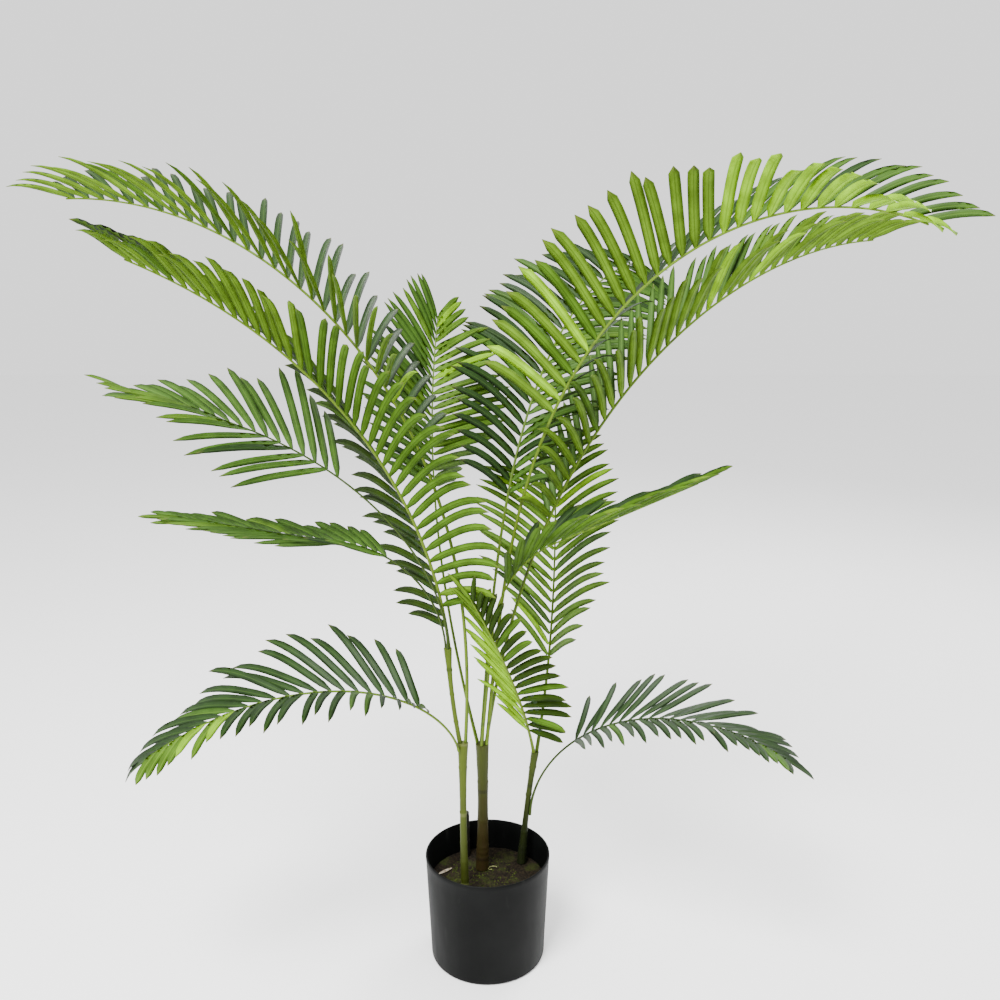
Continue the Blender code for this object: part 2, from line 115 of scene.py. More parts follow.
# %% Fronds, as a table
# --- fronds ------------------------------------------------------------------
# seat: stem, ring angle in degrees, ring radius, height (None = on the stem's head)
# heading and lift: degrees at the foot and at the tip; bend: exponent, start, end
# rise: angle of a row above the blade's flat plane at its foot and tip
# sweep: angle between leaflet and rib at the blade's foot and tip
# leaflets: longest on the right and on the left of the rib
Frond = namedtuple("Frond", "name seat petiole blade half heading lift bend "
                   "right_rise right_sweep left_rise left_sweep leaflets droop splay pairs")
FRONDS = [
    Frond("frond_right_front", ("stem_centre", 340, 6.0, None), 344, 577, 2.2, (348, 331), (85, -33),
          (2.3, 0, 0.976), (104, -6), (76, 54), (-26, 90), (82, 30), (112, 112), 0.5, -5, 34),
    Frond("frond_left_arch", ("stem_left_limb", 60, 2.9, None), 17, 585, 1.9, (192, 208), (84, 17),
          (1.0, 0, 1), (-28, 52), (76, 26), (40, 32), (78, 22), (130, 118), 0.6, 2, 36),
    Frond("frond_left_top", ("stem_left", 20, 3.2, None), 344, 549, 2.1, (173, 170), (93, -9),
          (1.4, 0, 1), (22, 46), (70, 36), (37, 42), (84, 27), (118, 124), 0.5, 0, 31),
    Frond("frond_right_arch", ("stem_centre", 35, 6.0, None), 279, 625, 2.0, (10, 24), (81, -4),
          (1.45, 0, 1), (60, 30), (72, 62), (30, 98), (44, 27), (114, 110), 0.6, 0, 32),
    Frond("frond_back_right", ("stem_centre", 95, 6.0, None), 297, 485, 1.9, (63, 50), (82, -4),
          (2.0, 0, 1), (14, -50), (50, 54), (60, 12), (56, 64), (116, 118), 0.35, 20, 27),
    Frond("frond_left_middle", ("stem_left_limb", 270, 2.9, None), 134, 350, 1.4, (192, 184), (94, 5),
          (0.65, 0, 1), (66, -14), (80, 27), (-66, 42), (58, 44), (126, 122), 0.25, -4, 23),
    Frond("frond_left_basal", ("stem_left", 235, None, 285), 69, 340, 1.5, (200, 192), (89, -38),
          (0.5, 0, 1), (46, -20), (57, 27), (20, 8), (71, 64), (122, 82), 0.6, 5, 21),
    Frond("frond_right_basal", ("stem_right", 335, None, 163), 123, 285, 1.5, (335, 342), (90, -35),
          (0.8, 0, 1), (-2, 24), (50, 64), (18, -32), (76, 27), (86, 126), 0.25, 12, 21),
    Frond("frond_back_upright", ("stem_right", 45, 2.9, None), 112, 285, 1.7, (52, 102), (75, 84),
          (1.5, 0, 1), (46, 42), (58, 48), (-20, 36), (46, 52), (118, 120), 0.35, 7, 20),
    Frond("frond_centre_upright", ("stem_centre", 170, 6.0, None), 312, 240, 1.7, (145, 70), (73, 70),
          (0.6, 0, 1), (-50, 60), (70, 64), (10, 68), (60, 27), (98, 112), 0.2, 6, 21),
    Frond("frond_right_middle", ("stem_centre", 265, 6.0, None), 204, 280, 1.5, (330, 351), (84, 26),
          (1.1, 0.3, 0.6), (24, 30), (38, 18), (20, 6), (46, 20), (92, 92), 0.3, -1, 18),
    Frond("frond_left_low", ("stem_left_limb", 150, 2.9, None), 123, 260, 1.3, (182, 178), (87, 9),
          (1.0, 0, 0.46), (2, -10), (50, 22), (-4, 4), (24, 20), (84, 84), 0.1, -4, 17),
    Frond("frond_front_small", ("stem_right", 225, 2.9, None), 36, 250, 1.5, (254, 216), (61, 58),
          (1.7, 0, 1), (18, 18), (46, 22), (-10, 46), (78, 14), (74, 70), 0.3, 10, 17),
]
# where each row of a frond begins, as shares of the blade, right and left; 0 unless told here
BARE_FOOT = {"frond_left_middle": (0.0, 0.36), "frond_right_front": (0.12, 0.0)}
BLADE_END = 0.91

# leaflet length, as a share of the longest, at the blade's foot and tip
FOOT_SHARE = 0.58
TIP_SHARE = 0.37
FULLEST_AT = 0.3
# how far a leaflet strays by hand-bending: degrees of rise and of sweep, share of length
STRAY = (6.0, 2.5, 0.06)
# what a leaflet tries, in turn, when its own place is taken: length share, extra rise
LEAFLET_TRIES = [(1.0, 0), (1.0, 8), (1.0, -8), (0.85, 0), (0.85, 14), (0.85, -14),
                 (0.65, 0), (0.65, 20), (0.5, 0)]
# how many fine leaflets stand for one plain leaflet along the rib; 1 unless told here
DENSITY = {"frond_left_arch": 1.12, "frond_left_top": 0.92, "frond_back_right": 1.15,
           "frond_left_low": 1.2, "frond_right_arch": 1.1, "frond_centre_upright": 1.1,
           "frond_front_small": 1.2}
FRONDS = [row._replace(pairs=round(row.pairs * DENSITY.get(row.name, 1.0))) for row in FRONDS]
print(len(FRONDS), "fronds")

# %% [markdown]
# The rule turns one table row into the path of a rib and the root, stations and tip of each leaflet.
# It is written with plain vectors, because every later cell asks it for places.

# %% The rule for stems and fronds
def loft(rings):
    """Close a stack of equal rings into one body with flat end caps."""
    sides = len(rings[0])
    verts = [v for ring in rings for v in ring]
    faces = [list(range(sides))[::-1]]
    for level in range(len(rings) - 1):
        low = level * sides
        high = low + sides
        for i in range(sides):
            j = (i + 1) % sides
            faces.append([low + i, low + j, high + j, high + i])
    last = (len(rings) - 1) * sides
    faces.append([last + i for i in range(sides)])
    return verts, faces


def between(ends, share):
    """Number at a share of the way from the first end to the second."""
    return ends[0] + (ends[1] - ends[0]) * share


def shares(steps):
    """Equal shares from 0 to 1."""
    return [step / steps for step in range(steps + 1)]


def ray(angle):
    """Level unit vector at an angle."""
    return Vector((math.cos(angle), math.sin(angle), 0.0))


def turns_of(sides):
    """Equal angles once around."""
    return [2 * math.pi * i / sides for i in range(sides)]


def stem_axis(stem, share):
    """Centre of a stem at a share of its height, with its slight bow."""
    foot = Vector(stem.foot)
    head = Vector(stem.head)
    bow = Vector((stem.bow[0], stem.bow[1], 0.0)) * 4 * share * (1 - share)
    return foot.lerp(head, share) + bow


def stem_radius(stem, share):
    """Radius from foot through waist to head."""
    foot, waist, head = stem.radii
    if share < 0.5:
        ease = (1 - share * 2) ** FOOT_EASE
        return waist + (foot - waist) * ease
    ease = (share * 2 - 1) ** HEAD_EASE
    return waist + (head - waist) * ease


def rib_axes(frond, t):
    """Direction, side and upper normal of the rib at a share of its length."""
    heading = math.radians(between(frond.heading, t))
    power, start, end = frond.bend
    eased = min(max((t - start) / (end - start), 0.0), 1.0) ** power
    lift = math.radians(between(frond.lift, eased))
    along = Vector((math.cos(heading) * math.cos(lift), math.sin(heading) * math.cos(lift),
                    math.sin(lift)))
    side = Vector((math.sin(heading), -math.cos(heading), 0.0))
    return along, side, side.cross(along)


def frond_foot(frond):
    """Where the petiole's lower end sits, a hair clear of its stem."""
    name, angle, ring, height = frond.seat
    stem = next(s for s in STEMS if s.name == name)
    half = frond.half * MM
    outward = ray(math.radians(angle))
    if height is None:
        drop = half * abs(math.cos(math.radians(frond.lift[0])))
        return Vector(stem.head) + outward * ring * MM + Vector((0.0, 0.0, GAP + drop))
    share = (height * MM - stem.foot[2]) / (stem.head[2] - stem.foot[2])
    offset = math.radians(angle - frond.heading[0])
    reach = half * (abs(math.cos(offset)) + abs(math.sin(offset)))
    return stem_axis(stem, share) + outward * (stem_radius(stem, share) + GAP + reach)


def rib_curve(frond):
    """Points of the rib from its foot to its tip, at equal steps."""
    length = (frond.petiole + frond.blade) * MM
    point = frond_foot(frond)
    curve = [point.copy()]
    for step in range(CURVE_STEPS):
        along = rib_axes(frond, (step + 0.5) / CURVE_STEPS)[0]
        point = point + along * (length / CURVE_STEPS)
        curve.append(point.copy())
    return curve


def on_curve(curve, t):
    """Point of the rib at a share of its length."""
    place = min(max(t, 0.0), 1.0) * CURVE_STEPS
    low = min(int(place), CURVE_STEPS - 1)
    return curve[low].lerp(curve[low + 1], place - low)


def rib_half(frond, t):
    """Half width of the rib at a share of its length."""
    return frond.half * MM * (1 - (1 - RIB_SLENDER) * t ** RIB_EASE)


def rib_ring(frond, curve, t):
    """Square section: upper right, lower right, lower left, upper left."""
    along, side, normal = rib_axes(frond, t)
    centre = on_curve(curve, t)
    half = rib_half(frond, t)
    return [centre + side * half + normal * half, centre + side * half - normal * half,
            centre - side * half - normal * half, centre - side * half + normal * half]


def length_share(f):
    """Leaflet length along the blade: short at the foot, fullest, then waning."""
    if f < FULLEST_AT:
        return 1 - (1 - FOOT_SHARE) * (1 - f / FULLEST_AT) ** 2
    return 1 - (1 - TIP_SHARE) * ((f - FULLEST_AT) / (1 - FULLEST_AT)) ** 2


def blade_share(frond, f):
    """Share of the whole rib at a share of the blade."""
    start = frond.petiole / (frond.petiole + frond.blade)
    return start + (1 - start) * f


def leaflet_path(frond, curve, pair, row, size, extra, steps):
    """Centre line of one leaflet in equal steps, with its heading in each.

    row is +1 for the right side of the rib and -1 for the left.
    Also gives the rib's direction, the leaflet's upper side and the room between neighbours.
    """
    f = (pair + 0.5) / frond.pairs * BLADE_END
    t = blade_share(frond, f)
    along, side, normal = rib_axes(frond, t)
    rises = frond.right_rise if row > 0 else frond.left_rise
    sweeps = frond.right_sweep if row > 0 else frond.left_sweep
    longest = frond.leaflets[0] if row > 0 else frond.leaflets[1]
    hand = random.Random("%s %d %d" % (frond.name, pair, row))
    stray = [reach * hand.uniform(-1, 1) for reach in STRAY]
    rise = between(rises, f) + extra + stray[0]
    rise = math.radians(max(-STEEPEST_RISE, min(STEEPEST_RISE, rise)))
    sweep = between(sweeps, f) + stray[1]
    length = longest * MM * length_share(f) * size * (1 + stray[2])
    outward = side * (row * math.cos(rise)) + normal * math.sin(rise)
    up = side * (-row * math.sin(rise)) + normal * math.cos(rise)
    point = on_curve(curve, t) + side * (row * rib_half(frond, t))
    points = [point.copy()]
    headings = []
    for step in range(steps):
        u = (step + 0.5) / steps
        angle = math.radians(sweep + frond.splay * u)
        heading = along * math.cos(angle) + outward * math.sin(angle)
        heading = (heading - Vector((0.0, 0.0, frond.droop * u * u))).normalized()
        point = point + heading * (length / steps)
        points.append(point.copy())
        headings.append(heading)
    spacing = frond.blade * MM * BLADE_END / frond.pairs
    room = spacing * math.sin(math.radians(sweep + frond.splay * WIDEST_AT))
    return points, headings, along, up, room


def leaflet_axes(heading, along, up):
    """Unit vectors across a leaflet, towards the frond's tip, and out of its upper face."""
    across = (along - heading * along.dot(heading)).normalized()
    face = heading.cross(across)
    return across, -face if face.dot(up) < 0 else face


def leaflet_shape(frond, curve, pair, row, size, extra):
    """Root, two stations, tip, heading and rib direction of one leaflet.

    Each station has its centre, its axes and a width that keeps it off the rib.
    """
    points, headings, along, up, room = leaflet_path(
        frond, curve, pair, row, size, extra, LEAFLET_STEPS)
    width = min(LEAFLET_WIDTH, room - LEAFLET_SLIT)
    outward = headings[0] - along * along.dot(headings[0])
    stations = []
    for place, share in STATIONS:
        low = int(place * LEAFLET_STEPS)
        centre = points[low].lerp(points[low + 1], place * LEAFLET_STEPS - low)
        across, up = leaflet_axes(headings[low], along, up)
        off_rib = (centre - points[0]).dot(outward.normalized())
        stations.append((centre, across, up, min(width * share, RIB_ROOM * off_rib)))
    return points[0], stations, points[-1], headings[0], along


print("rule ready, first foot at", tuple(round(c, 4) for c in frond_foot(FRONDS[0])))

# %% [markdown]
# On the real plant a leaflet that meets another is bent aside by hand.
# Here each leaflet tries its own place first, then a few others.
# The one that finds none is left out.
# The keeper asks a bounding-volume tree, which is quick and answers alike every time.

# %% Keeping the leaflets apart
def station_corners(station, grow):
    """Aft edge, keel and fore edge of a shallow folded section."""
    centre, across, face, width = station
    return [centre - across * (width / 2 + grow) + face * grow,
            centre - face * (LEAFLET_KEEL + grow),
            centre + across * (width / 2 + grow) + face * grow]


def spindle(sections):
    """Triangles over a row of three-cornered sections that ends in a point."""
    last = 3 * (sections - 1)
    triangles = [(0, 1, 2)]
    for i in range(3):
        j = (i + 1) % 3
        for low in range(0, last, 3):
            triangles += [(low + i, low + j, low + 3 + j), (low + i, low + 3 + j, low + 3 + i)]
        triangles.append((last + i, last + j, last + 3))
    return triangles


def leaflet_guard(shape):
    """A slightly swollen double of a leaflet, for keeping pieces apart."""
    root, stations, tip, heading, along = shape
    start = (root + heading * LEAFLET_CLEARANCE, along, stations[0][2], LEAFLET_ROOT_WIDTH)
    end = tip + (tip - stations[1][0]).normalized() * LEAFLET_CLEARANCE
    verts = []
    for station in [start] + stations:
        verts += station_corners(station, LEAFLET_CLEARANCE)
    verts.append(end)
    return verts, spindle(3)


def blade_guard(shape):
    """The leaflet beyond its first station, for keeping it off its own rib."""
    root, stations, tip, heading, along = shape
    verts = [corner for station in stations for corner in station_corners(station, GAP)] + [tip]
    return verts, spindle(2)


class Keeper:
    """Remembers every placed piece and answers whether a new one is clear of them."""

    def __init__(self):
        self.pieces = []

    def add(self, tag, verts, triangles):
        """Remember one piece under a tag."""
        self.pieces.append((tag, self.box(verts), BVHTree.FromPolygons(verts, triangles)))

    def box(self, verts):
        """Lowest and highest corner of a set of points."""
        low = [min(v[k] for v in verts) for k in range(3)]
        high = [max(v[k] for v in verts) for k in range(3)]
        return low, high

    def clear(self, verts, triangles, skip=None, only=None):
        """True when nothing remembered is met, one tag left aside or one tag alone being asked."""
        low, high = self.box(verts)
        tree = None
        for tag, (other_low, other_high), other in self.pieces:
            if tag == skip or (only and tag != only):
                continue
            if any(high[k] < other_low[k] or other_high[k] < low[k] for k in range(3)):
                continue
            if tree is None:
                tree = BVHTree.FromPolygons(verts, triangles)
            if tree.overlap(other):
                return False
        return True


def split(verts, faces):
    """The same body with its faces cut into triangles."""
    return verts, [(face[0], face[k], face[k + 1])
                   for face in faces for k in range(1, len(face) - 1)]


def plain_rib(frond, curve):
    """Rib without leaflets, as a guard for the leaflets of the other fronds."""
    return split(*loft([rib_ring(frond, curve, t) for t in shares(GUARD_RINGS)]))


def plan_leaflets(curves, keeper):
    """Choose each leaflet's size and extra rise; one that finds no clear place is left out."""
    plan = {}
    for frond in FRONDS:
        bare = BARE_FOOT.get(frond.name, (0.0, 0.0))
        for pair in range(frond.pairs):
            for row in (1, -1):
                if (pair + 0.5) / frond.pairs < bare[0 if row > 0 else 1]:
                    continue
                own_rib = frond.name + "_rib"
                for size, extra in LEAFLET_TRIES:
                    shape = leaflet_shape(frond, curves[frond.name], pair, row, size, extra)
                    verts, triangles = leaflet_guard(shape)
                    others_clear = keeper.clear(verts, triangles, skip=own_rib)
                    if others_clear and keeper.clear(*blade_guard(shape), only=own_rib):
                        keeper.add(frond.name, verts, triangles)
                        plan[(frond.name, pair, row)] = (size, extra)
                        break
    return plan


def stem_body(stem):
    """Plain double of a stem, for keeping leaflets clear of it."""
    rings = []
    for share in shares(STEM_RINGS - 1):
        centre = stem_axis(stem, share)
        radius = stem_radius(stem, share)
        rings.append([centre + Vector((radius * math.cos(a), radius * math.sin(a), 0.0))
                      for a in turns_of(STEM_SIDES)])
    return split(*loft(rings))


guard = Keeper()
for stem_row in STEMS:
    guard.add(stem_row.name, *stem_body(stem_row))
rib_curves = {row.name: rib_curve(row) for row in FRONDS}
for frond_row in FRONDS:
    guard.add(frond_row.name + "_rib", *plain_rib(frond_row, rib_curves[frond_row.name]))
leaflet_plan = plan_leaflets(rib_curves, guard)
print("leaflets placed:", len(leaflet_plan))

# %% [markdown]
# Node trees are written as ordinary sums.
# A Value wraps one socket and takes part in Python arithmetic, and a Graph adds every other node
# through a single method, so shapes and finishes read like formulas.

# %% A small language for node trees
class Value:
    """A socket that takes part in ordinary arithmetic."""

    def __init__(self, graph, socket):
        self.graph = graph
        self.socket = socket

    def math(self, operation, first, second=0.0):
        """Scalar sum on one Math node."""
        return self.graph.node("ShaderNodeMath", {"operation": operation}, {0: first, 1: second})

    def __add__(self, other):
        return self.math("ADD", self, other)

    def __sub__(self, other):
        return self.math("SUBTRACT", self, other)

    def __rsub__(self, other):
        return self.math("SUBTRACT", other, self)

    def __mul__(self, other):
        return self.math("MULTIPLY", self, other)

    def __gt__(self, other):
        return self.math("GREATER_THAN", self, other)

    def __lt__(self, other):
        return self.math("LESS_THAN", self, other)

    def __abs__(self):
        return self.math("ABSOLUTE", self)

    def sine(self):
        """Sine of an angle in radians."""
        return self.math("SINE", self)

    def ramp(self, low, high):
        """0 below low, 1 above high, eased between."""
        return self.graph.node("ShaderNodeMapRange", {"interpolation_type": "SMOOTHSTEP"},
                               {"Value": self, "From Min": low, "From Max": high})


class Graph:
    """One node tree under construction."""

    def __init__(self, tree):
        self.tree = tree

    def node(self, kind, settings=None, values=None, out=0):
        """Add a node, apply its settings, fill its sockets and hand back one output."""
        item = self.tree.nodes.new(kind)
        for key, setting in (settings or {}).items():
            setattr(item, key, setting)
        for key, value in (values or {}).items():
            if isinstance(value, Value):
                self.tree.links.new(value.socket, item.inputs[key])
            else:
                item.inputs[key].default_value = value
        return Value(self, item.outputs[out])

    def mix(self, factor, first, second):
        """Blend of two colours."""
        return self.node("ShaderNodeMix", {"data_type": "RGBA"},
                         {0: factor, 6: first, 7: second}, out=2)

    def vector(self, operation, values):
        """Sum on one Vector Math node."""
        return self.node("ShaderNodeVectorMath", {"operation": operation}, values)


def geometry_tree(name, inputs):
    """An empty geometry tree with labelled inputs: its graph and its inputs by label."""
    tree = bpy.data.node_groups.new(name, "GeometryNodeTree")
    for label, kind in inputs:
        tree.interface.new_socket(label, in_out="INPUT", socket_type="NodeSocket" + kind)
    tree.interface.new_socket("Geometry", in_out="OUTPUT", socket_type="NodeSocketGeometry")
    graph = Graph(tree)
    given = tree.nodes.new("NodeGroupInput")
    return graph, {socket.name: Value(graph, socket) for socket in given.outputs if socket.name}


def finished(graph, body):
    """The tree, with its geometry led out."""
    out = graph.tree.nodes.new("NodeGroupOutput")
    graph.tree.links.new(body.socket, out.inputs[0])
    return graph.tree


def add_object(name, data):
    """A new object in the scene."""
    item = bpy.data.objects.new(name, data)
    bpy.context.collection.objects.link(item)
    return item


def new_mesh(name, verts, edges=(), faces=()):
    """A mesh of these corners."""
    mesh = bpy.data.meshes.new(name)
    mesh.from_pydata(verts, edges, faces)
    return mesh


def run_tree(tree, name, mesh, values):
    """Run a tree on a mesh and keep the result as a plain object."""
    source = add_object(name + "_source", mesh)
    modifier = source.modifiers.new("shape", "NODES")
    modifier.node_group = tree
    for item in tree.interface.items_tree:
        if item.in_out == "INPUT" and item.name in values:
            modifier[item.identifier] = values[item.name]
    ready = source.evaluated_get(bpy.context.evaluated_depsgraph_get())
    result = bpy.data.meshes.new_from_object(ready)
    bpy.data.objects.remove(source, do_unlink=True)
    return add_object(name, result)


print("node language ready")

# %% [markdown]
# Everything long on the plant, a stem, a rib or a leaflet, is a section swept along a path.
# One tree does all of them.
# The path's points carry how wide and how tall the section is and which way its sides point, the
# section's points carry their place across and up, and the tree puts every corner where the two say.
# Curve to Mesh alone would have to guess the twist; stored axes leave nothing to guess.

# %% Sweep tree
SWEEP_FINISHES = 4


def sweep_tree():
    """Sweep a section along every path; finish n goes to tint n, upper and lower side apart."""
    inputs = [("Paths", "Geometry"), ("Section", "Object")]
    inputs += [(label, "Float") for label in ("Fold", "Relief", "Relief scale")]
    inputs += [("%s %d" % (label, k), "Material")
               for k in range(SWEEP_FINISHES) for label in ("Upper", "Lower")]
    graph, take = geometry_tree("sweep_section", inputs)

    def attribute(name, kind="FLOAT"):
        return graph.node("GeometryNodeInputNamedAttribute", {"data_type": kind}, {"Name": name})

    paths = graph.node("GeometryNodeMeshToCurve", values={0: take["Paths"]})
    section = graph.node("GeometryNodeObjectInfo", values={0: take["Section"]}, out=4)
    section = graph.node("GeometryNodeMeshToCurve", values={0: section})
    swept = graph.node("GeometryNodeCurveToMesh",
                       values={"Curve": paths, "Profile Curve": section, "Fill Caps": True})
    across, lift = attribute("across"), attribute("lift")
    half_side, half_up = attribute("half_side"), attribute("half_up")
    centre = attribute("centre", "FLOAT_VECTOR")
    lumps = graph.node("ShaderNodeTexNoise",
                       values={"Vector": centre, "Scale": take["Relief scale"], "Detail": 2.0})
    swell = (lumps - 0.5) * take["Relief"]
    sideways = across * (half_side + swell)
    upward = lift * (half_up + swell) + take["Fold"] * abs(across) * half_side
    place = centre
    for axis, reach in (("side_axis", sideways), ("up_axis", upward)):
        step = graph.vector("SCALE", {0: attribute(axis, "FLOAT_VECTOR"), "Scale": reach})
        place = graph.vector("ADD", {0: place, 1: step})
    body = graph.node("GeometryNodeSetPosition", values={"Geometry": swept, "Position": place})
    body = graph.node("GeometryNodeSetShadeSmooth", values={"Geometry": body})
    tint = attribute("tint")
    for k in range(SWEEP_FINISHES):
        mine = abs(tint - k) < 0.4
        for label, part in (("Upper", lift > 0.0), ("Lower", 1.0 - (lift > 0.0))):
            body = graph.node("GeometryNodeSetMaterial", values={
                "Geometry": body, "Selection": mine * part, "Material": take["%s %d" % (label, k)]})
    return finished(graph, graph.node("GeometryNodeRealizeInstances", values={0: body}))


def section_object(name, points):
    """A closed loop of (across, lift) places, as edges that carry them."""
    count = len(points)
    mesh = new_mesh(name, [(a * MM, b * MM, 0.0) for a, b in points],
                    [(i, (i + 1) % count) for i in range(count)])
    for label, column in (("across", 0), ("lift", 1)):
        store = mesh.attributes.new(label, "FLOAT", "POINT").data
        store.foreach_set("value", [p[column] for p in points])
    item = add_object(name, mesh)
    item.hide_render = True
    return item


PathPoint = namedtuple("PathPoint", "centre side_axis up_axis half_side half_up tint share")


def sweep(name, paths, section, finishes, fold=0.0, relief=0.0, relief_scale=60.0):
    """Run the sweep tree on a list of paths and keep the result as a plain mesh."""
    points = [p for path in paths for p in path]
    edges = []
    first = 0
    for path in paths:
        edges += [(first + i, first + i + 1) for i in range(len(path) - 1)]
        first += len(path)
    mesh = new_mesh(name + "_paths", [p.centre for p in points], edges)
    for field in PathPoint._fields:
        values = [getattr(p, field) for p in points]
        if field in ("centre", "side_axis", "up_axis"):
            store = mesh.attributes.new(field, "FLOAT_VECTOR", "POINT").data
            store.foreach_set("vector", [c for value in values for c in value])
        else:
            mesh.attributes.new(field, "FLOAT", "POINT").data.foreach_set("value", values)
    given = {"Section": section, "Fold": fold, "Relief": relief, "Relief scale": relief_scale}
    for k in range(SWEEP_FINISHES):
        given["Upper %d" % k], given["Lower %d" % k] = finishes[min(k, len(finishes) - 1)]
    return run_tree(SWEEP, name, mesh, given)


SWEEP = sweep_tree()
ROUND_SECTION = section_object("round_section", [
    (math.cos(a), math.sin(a)) for a in turns_of(STEM_SIDES)])
RIB_SECTION = section_object("rib_section", [
    (1.0, 0.3), (0.8, 0.85), (0.35, 0.8), (0.0, 0.5), (-0.35, 0.8), (-0.8, 0.85), (-1.0, 0.3),
    (-0.95, -0.35), (-0.6, -0.85), (0.0, -1.0), (0.6, -0.85), (0.95, -0.35)])
LEAF_SECTION = section_object("leaf_section", [
    (1.0, 0.0), (0.1, 1.0), (-0.1, 1.0), (-1.0, 0.0), (-0.1, -1.0), (0.1, -1.0)])
print("sweep tree:", len(SWEEP.nodes), "nodes")

# %% [markdown]
# Leaflets are printed fabric: deep green with a soft gloss above, paler and duller below.
# Fine veins run along each, and a crease of another shade marks the fold.
# The veins come from the place across the leaflet, so they follow every bend.

# %% Finishes
def new_material(name):
    """The graph of an empty material, which it carries along."""
    material = bpy.data.materials.new(name)
    material.use_nodes = True
    graph = Graph(material.node_tree)
    graph.material = material
    return graph


def painted(graph, **values):
    """The material, with sockets of its shader filled by links or constants."""
    shader = graph.tree.nodes["Principled BSDF"]
    for label, value in values.items():
        socket = shader.inputs[label.replace("_", " ")]
        if isinstance(value, Value):
            graph.tree.links.new(value.socket, socket)
        else:
            socket.default_value = value
    return graph.material


def noise(graph, scale, detail=4.0, stretch=(1.0, 1.0, 1.0)):
    """Noise over Object coordinates."""
    place = graph.node("ShaderNodeTexCoord", out=3)
    place = graph.node("ShaderNodeMapping", values={"Vector": place, "Scale": stretch})
    return graph.node("ShaderNodeTexNoise",
                      values={"Vector": place, "Scale": scale, "Detail": detail})


def carried(graph, name):
    """A number that the sweep left on the mesh."""
    return graph.node("ShaderNodeAttribute", {"attribute_name": name}, out=2)


def rgb(red, green, blue):
    """A colour with its alpha."""
    return (red, green, blue, 1.0)


def shade(colour, factor):
    """A darker or lighter tone of a colour."""
    return rgb(*(min(1.0, c * factor) for c in colour[:3]))


def bump(graph, height, strength, distance):
    """Bump from a height."""
    return graph.node("ShaderNodeBump",
                      values={"Height": height, "Strength": strength, "Distance": distance})


LEAF_VEINS = 34.0
LEAF_MOTTLE = 45.0
DRY_TIP = rgb(0.16, 0.15, 0.04)


def leaf_finish(name, body, crease, roughness, gloss):
    """Fabric leaf: body colour, crease colour, fine lengthwise veins."""
    graph = new_material(name)
    veins = (carried(graph, "across") * LEAF_VEINS).sine() * 0.5 + 0.5
    mottle = noise(graph, LEAF_MOTTLE)
    middle = 1.0 - abs(carried(graph, "across")).ramp(0.03, 0.16)
    dark = shade(body, 0.72)
    colour = graph.mix(mottle.ramp(0.3, 0.7), dark, shade(body, 1.22))
    colour = graph.mix(veins * 0.22, colour, dark)
    colour = graph.mix(middle * 0.65, colour, rgb(*crease))
    colour = graph.mix(carried(graph, "share").ramp(0.9, 1.0) * 0.35, colour, DRY_TIP)
    return painted(graph, Base_Color=colour, Roughness=mottle * 0.12 + (roughness - 0.06),
                   Normal=bump(graph, veins + mottle, 0.35, 0.0004), Specular_IOR_Level=gloss)


RING_PITCH = 0.09
RING_MARKS = 0.5


def rod_finish(name, low, high, ring, roughness):
    """Moulded plastic cane: fibres, faint rings, a colour at the foot and one at the head."""
    graph = new_material(name)
    fibres = noise(graph, 900.0, 3.0, (1.0, 1.0, 0.04))
    blotch = noise(graph, 60.0)
    place = graph.node("ShaderNodeTexCoord", out=3)
    height = graph.node("ShaderNodeSeparateXYZ", values={0: place}, out=2)
    rings = ((height + (blotch - 0.5) * 0.004) * (2 * math.pi / RING_PITCH)).sine()
    rings = rings.ramp(0.975, 1.0)
    colour = graph.mix(carried(graph, "share").ramp(0.1, 0.95), rgb(*low), rgb(*high))
    colour = graph.mix(fibres.ramp(0.35, 0.7) * 0.35, colour, shade(high, 0.55))
    colour = graph.mix(blotch.ramp(0.45, 0.75) * 0.3, colour, shade(low, 1.3))
    colour = graph.mix(rings * RING_MARKS, colour, rgb(*ring))
    return painted(graph, Base_Color=colour, Roughness=blotch * 0.2 + (roughness - 0.1),
                   Normal=bump(graph, fibres + rings, 0.3, 0.0003), Specular_IOR_Level=0.12)


# the tints from deep to bright are partly the fabric's own tones and partly painted light and shade
# four tints, each with its upper and its lower side: body, crease, roughness, gloss
LEAF_TINTS = {
    "deep": (((0.011, 0.032, 0.004), (0.030, 0.070, 0.007), 0.45, 0.2),
             ((0.020, 0.044, 0.002), (0.009, 0.020, 0.001), 0.60, 0.06)),
    "mid": (((0.036, 0.086, 0.009), (0.072, 0.150, 0.014), 0.48, 0.14),
            ((0.052, 0.116, 0.007), (0.020, 0.046, 0.001), 0.60, 0.06)),
    "fresh": (((0.060, 0.130, 0.009), (0.120, 0.215, 0.018), 0.50, 0.12),
              ((0.090, 0.176, 0.009), (0.036, 0.078, 0.001), 0.60, 0.06)),
    "bright": (((0.150, 0.310, 0.004), (0.220, 0.400, 0.006), 0.50, 0.12),
               ((0.200, 0.400, 0.004), (0.090, 0.200, 0.003), 0.60, 0.06)),
}
# two tints of rib, likewise: foot, head, ring, roughness
RIB_TINTS = {
    "deep": (((0.014, 0.030, 0.005), (0.018, 0.040, 0.006), (0.01, 0.015, 0.005), 0.45),
             ((0.030, 0.050, 0.006), (0.034, 0.060, 0.006), (0.01, 0.015, 0.005), 0.5)),
    "green": (((0.052, 0.090, 0.007), (0.070, 0.130, 0.007), (0.025, 0.035, 0.010), 0.42),
              ((0.085, 0.135, 0.009), (0.110, 0.190, 0.008), (0.03, 0.04, 0.010), 0.48)),
}


def both_sides(kind, finish, tints):
    """A pair of materials for every tint, upper side first."""
    return [tuple(finish("%s_%s_%s" % (kind, tint, side), *values)
                  for side, values in zip(("upper", "lower"), sides))
            for tint, sides in tints.items()]


